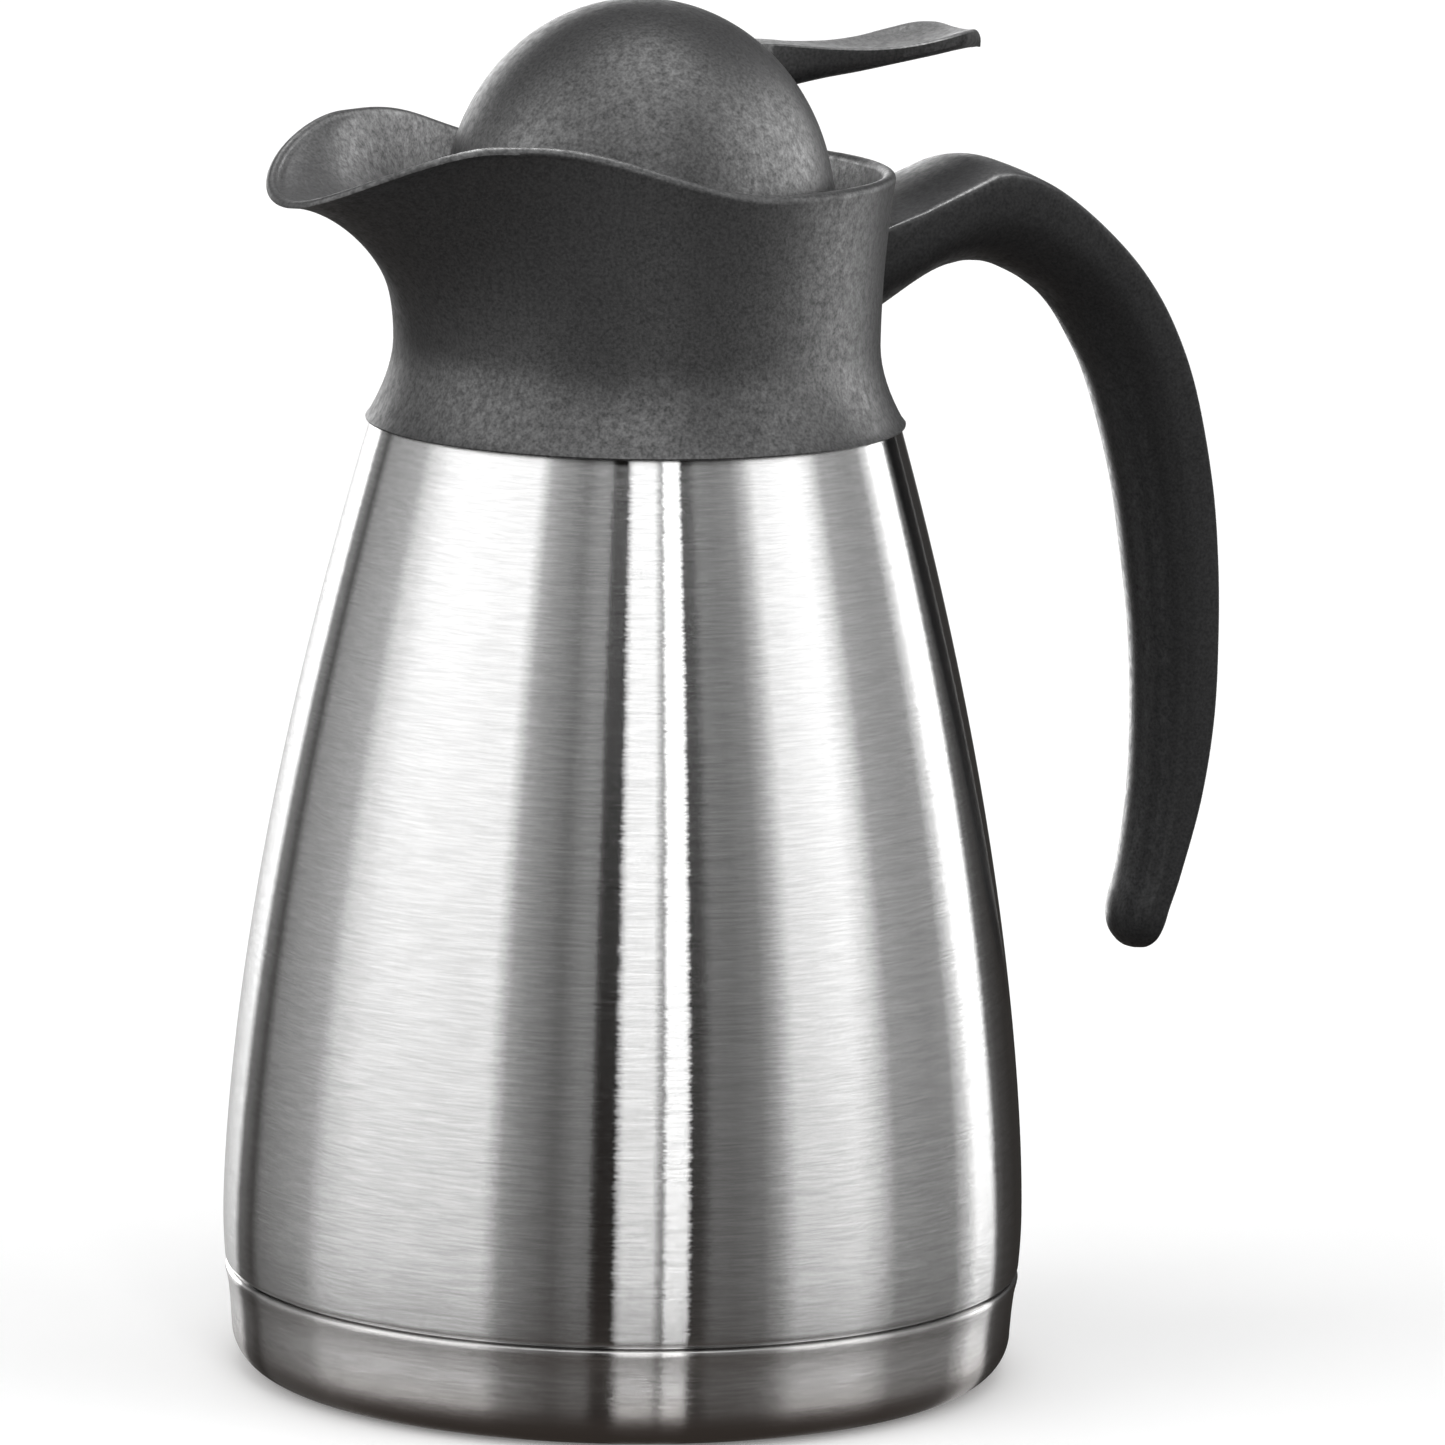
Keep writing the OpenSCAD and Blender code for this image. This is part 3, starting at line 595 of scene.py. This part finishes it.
def handle_ring(station, at_root=False):
    outer, inner = np.array(station[:2]), np.array(station[2:4])
    taper, crown = station[4:6]
    depth = float(np.linalg.norm(inner - outer))
    inward = (inner - outer) / depth
    half = ROOT_HALF_WIDTH + (TAIL_HALF_WIDTH - ROOT_HALF_WIDTH) * taper
    round_depth = min(0.62 * depth, half * 0.95)
    flank_depth = depth - round_depth
    bevel = min(0.8, 0.2 * half, 0.12 * depth)

    def crown_at(share):
        return -crown * (1 - share * share)

    def mirrored(points):
        return [(-y, d) for y, d in points[::-1]]

    # (y, distance inward): crowned outer face, small rounded bevels, flanks, rounded inner side
    edge = [(half - bevel, crown_at((half - bevel) / half)),
            (half - 0.62 * bevel, crown_at((half - 0.62 * bevel) / half) + 0.10 * bevel),
            (half - 0.3 * bevel, 0.16 * bevel), (half - 0.1 * bevel, 0.45 * bevel),
            (half, 0.95 * bevel)]
    flank = [(half * 0.995, max(1.2 * bevel, flank_depth * 0.4)),
             (half * 0.99, max(1.4 * bevel, flank_depth * 0.75))]
    profile = mirrored(edge)
    profile += [(share * half, crown_at(share)) for share in np.linspace(-0.9, 0.9, 17)]
    profile += edge + flank
    profile += arc(0, flank_depth, half * 0.98, np.linspace(0.0, pi, 21), round_depth)
    profile += mirrored(flank)

    ring = []
    for y, d in profile:
        x, z = outer + inward * d
        if at_root:
            x = math.sqrt((collar_radius(180, z) + ROOT_GAP) ** 2 - y * y)
        ring.append((x, y, z))
    return ring


def make_handle():
    head = HANDLE_STATIONS[:BEND_STATION + 1]
    tail = HANDLE_STATIONS[BEND_STATION:]
    bend_start, bend_end = 2.6, 0.45       # places along head and tail
    start, end = catmull(head, bend_start), catmull(tail, bend_end)
    corner = np.array(HANDLE_STATIONS[BEND_STATION], float)
    rings = [handle_ring(HANDLE_STATIONS[0], at_root=True)]
    rings += [handle_ring(catmull(head, s)) for s in np.linspace(1.0, bend_start, 9)]
    rings += [handle_ring(bend(start, corner, end, t)) for t in np.linspace(0.1, 0.9, 9)]
    rings += [handle_ring(catmull(tail, s)) for s in np.linspace(bend_end, len(tail) - 1, 130)]
    return ring_mesh("handle_visual", rings, sharp=40)


handle = finish_piece(make_handle(), HANDLE, "root", "handle_plastic", "handle")


# ------------------------------------------------------------------ dome with the lever's slot
def make_dome():
    profile = [(30.25, DOME_Z + 0.15), (30.4, DOME_Z), (31.9, DOME_Z), (32.3, DOME_Z + 0.12),
               (32.48, DOME_Z + 0.5)]
    profile += arc(0, DOME_Z, DOME_R, np.radians(np.linspace(1.8, 89.2, 60)),
                   DOME_TOP_Z - DOME_Z)
    profile += [(0.0, DOME_TOP_Z), (0.0, DOME_INNER_TOP_Z)]
    profile += arc(0, DOME_Z, DOME_INNER_R, np.radians(np.linspace(87, 7, 26)),
                   DOME_INNER_TOP_Z - DOME_Z)
    profile += [(DOME_INNER_R, 198.2), (30.25, 198.2)]
    obj = revolve("dome_cap_visual", profile, segments=256)

    # the slot is open upwards and towards +X; its inner bottom corner is rounded
    corner = np.array((SLOT_X, SLOT_Z))
    above = corner + (0, SLOT_ROUNDING)
    beside = corner + (SLOT_ROUNDING, 0)
    outline = [tuple(bend(above, corner, beside, k / 6)) for k in range(7)]
    outline += [(60, SLOT_Z), (60, 260), (SLOT_X, 260)]
    boolean(obj, prism_y("slot_cut", outline, SLOT_HALF_WIDTH))
    return obj


dome = finish_piece(make_dome(), DOME, "stopper", "dome_plastic", "dome_cap")

# ------------------------------------------------------------------ thumb lever
# x, top z, depth, half width, sink of the top's middle (negative is raised)
BLADE_STATIONS = [
    [19.5, 222.6, 9.6, 4.2, -0.3], [24, 222.4, 8.5, 4.2, -0.3], [29, 221.9, 6.9, 4.8, -0.2],
    [34, 221.5, 5.6, 5.8, 0.3], [40, 221.3, 4.5, 7.1, 0.9], [46, 221.6, 3.7, 8.2, 1.4],
    [52, 222.5, 3.6, 9, 1.6], [57, 223.4, 3.8, 8.6, 1.2], [60, 223.6, 3.8, 7.0, 0.5],
    [61.8, 223.2, 3.35, 5.3, 0.2], [63.2, 222.3, 2.45, 3.8, 0], [64.2, 221.4, 1.5, 2.4, 0],
    [64.9, 220.5, 0.7, 1.2, 0]]


def blade_ring(station):
    x, z, depth, half, dish = station
    points = []
    # top face: a narrow rounded rim round the dish
    for share in [*np.linspace(-1, -0.9, 5), *np.linspace(-0.82, 0.82, 19),
                  *np.linspace(0.9, 1, 5)]:
        out = abs(share)
        rim_fall = 0.3 * ((out - 0.93) / 0.07) ** 2 if out > 0.93 else 0
        points.append((share * half, -dish * (1 - min(1, out / 0.9) ** 2.6) - rim_fall))
    # underside
    for angle in np.radians(np.linspace(12, 168, 17)):
        points.append((half * math.cos(angle), -0.5 - (depth - 0.5) * math.sin(angle) ** 0.55))
    return [(x, y, z + rise) for y, rise in points]


def make_lever():
    places = np.linspace(0, len(BLADE_STATIONS) - 1, 90)
    blade = ring_mesh("thumb_lever_visual",
                      [blade_ring(catmull(BLADE_STATIONS, s)) for s in places], sharp=45)
    hub = cylinder_y("hub", HUB_R, HUB_HALF_WIDTH)
    # web from the hub up to the blade
    web = [(PIVOT_X - 1, PIVOT_Z + 3.4), (19, PIVOT_Z + 7.4), (21, PIVOT_Z + 8.4),
           (25, PIVOT_Z + 4), (24, PIVOT_Z + 1.6), (PIVOT_X + 2, PIVOT_Z - 2.6)]
    boolean(hub, prism_y("web", web, WEB_HALF_WIDTH), "UNION")
    # arm from the hub towards the axis, ending in two fingers
    arm_z = PIVOT_Z - 3.2
    boolean(hub, box_mesh("arm", (3.6, -ARM_HALF_WIDTH, arm_z),
                          (PIVOT_X - 1.6, ARM_HALF_WIDTH, PIVOT_Z - 0.2)), "UNION")
    for y0, y1 in ((-ARM_HALF_WIDTH, -FINGER_INNER_Y), (FINGER_INNER_Y, ARM_HALF_WIDTH)):
        finger = box_mesh("finger", (-1.4, y0, arm_z), (4.6, y1, PIVOT_Z - 0.5))
        boolean(hub, finger, "UNION")
    boolean(blade, hub, "UNION")
    boolean(blade, cylinder_y("pin_bore", BORE_R, 9))
    return blade


lever = finish_piece(make_lever(), LEVER, "lever", "lever_plastic", "thumb_lever")

# ------------------------------------------------------------------ CAD pieces that stay
CAD_FINISHES = {
    "shell_bottom": STEEL_PLATE, "inner_flask": STEEL_INNER, "getter": GETTER,
    "evacuation_seal": BRAZE, "neck_ring": RING, "neck_gasket": SEAL,
    "collar_lock_ring": LOCK, "handle_screws": SCREW, "stopper_gasket": SEAL,
    "stopper_body": STOPPER, "bridge_plate": STOPPER, "bridge_screws": SCREW,
    "lever_pin": PIN, "valve_stem": VALVE_STEEL, "valve_plate": VALVE, "valve_seal": SEAL,
    "valve_clip": PIN, "valve_spring": SPRING}
for key, material in CAD_FINISHES.items():
    set_material(nodes[key], material)

# ------------------------------------------------------------------ floor
FLOOR_HALF = 9000
floor = make_mesh("floor", [(x * FLOOR_HALF, y * FLOOR_HALF, 0)
                            for x, y in ((-1, -1), (1, -1), (1, 1), (-1, 1))],
                  [(0, 1, 2, 3)], sharp=0)
pale = Material("floor_pale")
pale.set({"Base Color": (0.95, 0.95, 0.95), "Roughness": 0.9, "Specular IOR Level": 0.1,
          "Emission Color": (1, 1, 1), "Emission Strength": 0.14})
floor.data.materials.append(pale.material)
floor.visible_glossy = False

# ------------------------------------------------------------------ world
# The camera looks from the -Y side, turned towards the spout.
CAMERA_TURN = math.radians(30)
TO_CAMERA = (-math.sin(CAMERA_TURN), -math.cos(CAMERA_TURN), 0.0)
TO_RIGHT = (math.cos(CAMERA_TURN), -math.sin(CAMERA_TURN), 0.0)

WORLD_STRENGTH = 8.0     # colours are divided by this, so that they stay below 1
WALL_GAIN = 2.0          # brightness of the wall over the figures below
WALL_BEND = 0.985        # how closely the wall's angles are measured from behind the pot

# Panels and gaps round the studio: angle from the camera in degrees, positive to its right,
# and brightness. There are two tables because a colour ramp holds at most 32 stops.
LEFT_WALL = [
    (-180, 2.0), (-149, 2.0), (-144, 0.3), (-134, 0.08), (-128, 0.3), (-112, 0.44),
    (-103, 0.56), (-96, 0.95), (-86, 1.04), (-70, 1.0), (-50, 0.93), (-41, 0.92),
    (-35, 0.36), (-30, 0.24), (-20, 0.11), (-13, 0.2), (-9.4, 0.17), (-8.2, 0.0),
    (-2.1, 0.0), (-1.1, 0.92), (0, 0.99)]
RIGHT_WALL = [
    (0, 0.99), (9.2, 0.99), (10.3, 0.3), (11.6, 0.3), (12.5, 1.3), (18.2, 1.3), (19.0, 0.02),
    (23, 0.04), (26, 0.15), (33, 0.14), (41, 0.2), (46, 0.4), (52, 0.83), (60, 0.92),
    (72, 1.08), (79, 0.82), (86, 0.4), (103, 0.36), (111, 0.4), (118, 1.0), (124, 2.0),
    (133, 2.0), (137, 0.2), (143, 0.08), (155, 0.03), (170, 0.03), (176, 0.1), (180, 0.5)]


def grey(value, warm=0.0):
    return scaled((value, value * (1 - 0.6 * warm), value * (1 - warm)), 1 / WORLD_STRENGTH)


def make_world():
    world = bpy.data.worlds.new("studio")
    scene.world = world
    sky = Shader(world)
    direction = sky.add("TexCoord").outputs["Generated"]
    up = sky.add("SeparateXYZ", {0: direction}).outputs[2]
    along = sky.vector("DOT_PRODUCT", direction, TO_CAMERA).outputs["Value"]
    across = sky.vector("DOT_PRODUCT", direction, TO_RIGHT).outputs["Value"]

    # the panels bend round the pot, so a brushed wall shows each as a clean upright stripe
    azimuth = sky.math("ARCTAN2", across, sky.plus(along, WALL_BEND))
    turn = sky.plus(sky.math("DIVIDE", azimuth, pi), 0.5)

    def wall(stops):
        ramp = sky.add("ValToRGB", {0: turn})
        elements = ramp.color_ramp.elements
        for i, (angle, value) in enumerate(stops):
            position = (angle + 180) / 360
            stop = elements[i] if i < 2 else elements.new(position)
            stop.position = position
            stop.color = (*grey(value * WALL_GAIN), 1)
        return ramp.outputs[0]

    color = sky.mix(sky.math("GREATER_THAN", turn, 0.5), wall(LEFT_WALL), wall(RIGHT_WALL))

    # below the horizon: a dim echo of the wall, then dark, both a little warm
    dimmed = sky.add("VectorMath", {0: color, "Scale": 0.13}, operation="SCALE").outputs[0]
    echo = sky.vector("ADD", dimmed, grey(0.03, warm=0.2)).outputs[0]
    low = sky.mix(sky.ease(up, source=(-0.75, -0.4)), grey(0.08, warm=0.2), echo)
    color = sky.mix(sky.ease(up, source=(-0.16, 0.17)), low, color)
    # high on the side away from the camera: even grey
    high_behind = sky.times(sky.ease(along, source=(0.1, -0.35)),
                            sky.ease(up, source=(0.26, 0.42)))
    color = sky.mix(high_behind, color, grey(0.22))
    # overhead: one wide soft panel, brighter on the camera's side, brightest at the top
    crown = sky.mix(sky.ease(along, source=(-0.3, 0.3)), grey(0.2), grey(1.1))
    color = sky.mix(sky.ease(up, source=(0.72, 0.90)), color, crown)
    color = sky.mix(sky.ease(up, source=(0.90, 0.98)), color, grey(2.2))

    # the camera itself sees plain white
    studio = sky.add("Background", {0: color, 1: WORLD_STRENGTH}).outputs[0]
    white = sky.add("Background", {0: (1, 1, 1), 1: 1.0}).outputs[0]
    is_camera = sky.add("LightPath").outputs["Is Camera Ray"]
    seen = sky.add("MixShader", {0: is_camera, 1: studio, 2: white}).outputs[0]
    sky.add("OutputWorld", {0: seen})


make_world()


# ------------------------------------------------------------------ lights
def group(name, *objects):
    collection = bpy.data.collections.new(name)
    for obj in objects:
        collection.objects.link(obj)
    return collection


def area_light(name, width, height, radiance, place, axis, receivers, blockers=None):
    """Rectangular light, sizes in metres; axis points from the lit spot to the light."""
    data = bpy.data.lights.new(name, "AREA")
    data.shape, data.size, data.size_y = "RECTANGLE", width, height
    data.energy = radiance * pi * width * height
    light = link(bpy.data.objects.new(name, data))
    light.location = place
    light.rotation_euler = axis.to_track_quat("Z", "Y").to_euler()
    light.light_linking.receiver_collection = receivers
    if blockers:
        light.light_linking.blocker_collection = blockers
    return light


lid = group("lid_parts", dome, lever, nodes["stopper_body"], nodes["bridge_plate"])
grips = group("grip_parts", collar, handle, nodes["neck_ring"])
collar_only = group("collar_only", collar)
handle_only = group("handle_only", handle)
lever_only = group("lever_only", lever)
edge_parts = group("edge_parts", collar, handle, lever)
spout_blockers = group("casters", handle, shell)
shell_only = group("shell_only", shell)

PANEL_DISTANCE, PANEL_CENTRE_Z = 1.3, 0.18

# Soft panels that light only some plastic pieces, each from its own side.
# name, degrees to the camera's right, degrees up, width, height, radiance, receivers, blockers
PANELS = [
    ("panel_right", 100, 21, 1.1, 0.8, 2.6, lid, None),
    ("panel_left", -76, 17, 0.8, 0.8, 1.1, lid, None),
    ("panel_top", 70, 72, 0.6, 0.6, 1.3, lid, None),
    ("panel_spout", 104, -7, 0.9, 0.7, 2.2, collar_only, spout_blockers),
    ("panel_front", -14, 52, 0.9, 0.7, 1.1, lid, None),
    ("panel_front_low", -12, 36, 0.9, 0.7, 1.3, grips, None),
    ("panel_edge", 104, 59, 0.6, 0.6, 8.0, handle_only, None),
    ("panel_rim", -160, -3, 0.5, 0.7, 5.0, handle_only, None),
    ("panel_lever", 170, 34, 1.0, 0.6, 1.4, lever_only, None),
    ("panel_edges", 180, 80, 0.6, 0.6, 10.0, edge_parts, None),
    ("panel_grip", -40, 82, 0.6, 0.6, 30.0, handle_only, None)]
for name, side, rise, width, height, radiance, receivers, blockers in PANELS:
    side, rise = math.radians(side), math.radians(rise)
    level = Vector(TO_CAMERA) * math.cos(side) + Vector(TO_RIGHT) * math.sin(side)
    axis = level * math.cos(rise) + Vector((0, 0, math.sin(rise)))
    light = area_light(name, width, height, radiance,
                       axis * PANEL_DISTANCE + Vector((0, 0, PANEL_CENTRE_Z)), axis,
                       receivers, blockers)
    if blockers:
        light.data.cycles.use_multiple_importance_sampling = False

# Small soft lights in the collar's mouth that only the collar takes: light thrown back by the
# dome and the far wall. name, place, lit spot, width, height (all mm), radiance
LAMPS = [
    ("lamp_spout", (-3, 10, 217), (-50, 18, 204), 44, 32, 4.2),
    ("lamp_tip", (-40, -6, 226), (-61, 8, 203), 20, 16, 9.0),
    ("lamp_lip", (12, 26, 209), (38, -12, 203), 30, 12, 9.0)]
for name, place, spot, width, height, radiance in LAMPS:
    area_light(name, width * MM, height * MM, radiance, Vector(place) * MM,
               Vector(place) - Vector(spot), collar_only, shell_only)

# ------------------------------------------------------------------ camera
CAMERA_DISTANCE, CAMERA_Z = 1900.0, 440.628
AIM_RIGHT, AIM_Z = 15.314, 109.561     # aim point: offset to the camera's right, and height
CAMERA_ROLL = 0.018                    # radians
SENSOR_WIDTH, LENS = 36.0, 288.1915848


def make_camera():
    place = CAMERA_DISTANCE * np.array(TO_CAMERA) + (0, 0, CAMERA_Z)
    forward = AIM_RIGHT * np.array(TO_RIGHT) + (0, 0, AIM_Z) - place
    forward /= np.linalg.norm(forward)
    right = np.cross(forward, [0, 0, 1.0])
    right /= np.linalg.norm(right)
    up = np.cross(right, forward)
    c, s = math.cos(CAMERA_ROLL), math.sin(CAMERA_ROLL)
    columns = (c * right + s * up, -s * right + c * up, -forward, place * MM)

    data = bpy.data.cameras.new("camera")
    camera = link(bpy.data.objects.new("camera", data))
    camera.matrix_world = Matrix((*zip(*columns), (0, 0, 0, 1)))
    data.sensor_width = SENSOR_WIDTH
    data.lens = LENS
    data.clip_start, data.clip_end = 0.05, 60.0
    scene.camera = camera


make_camera()
scene.view_settings.view_transform = "Standard"
scene.view_settings.look = "None"
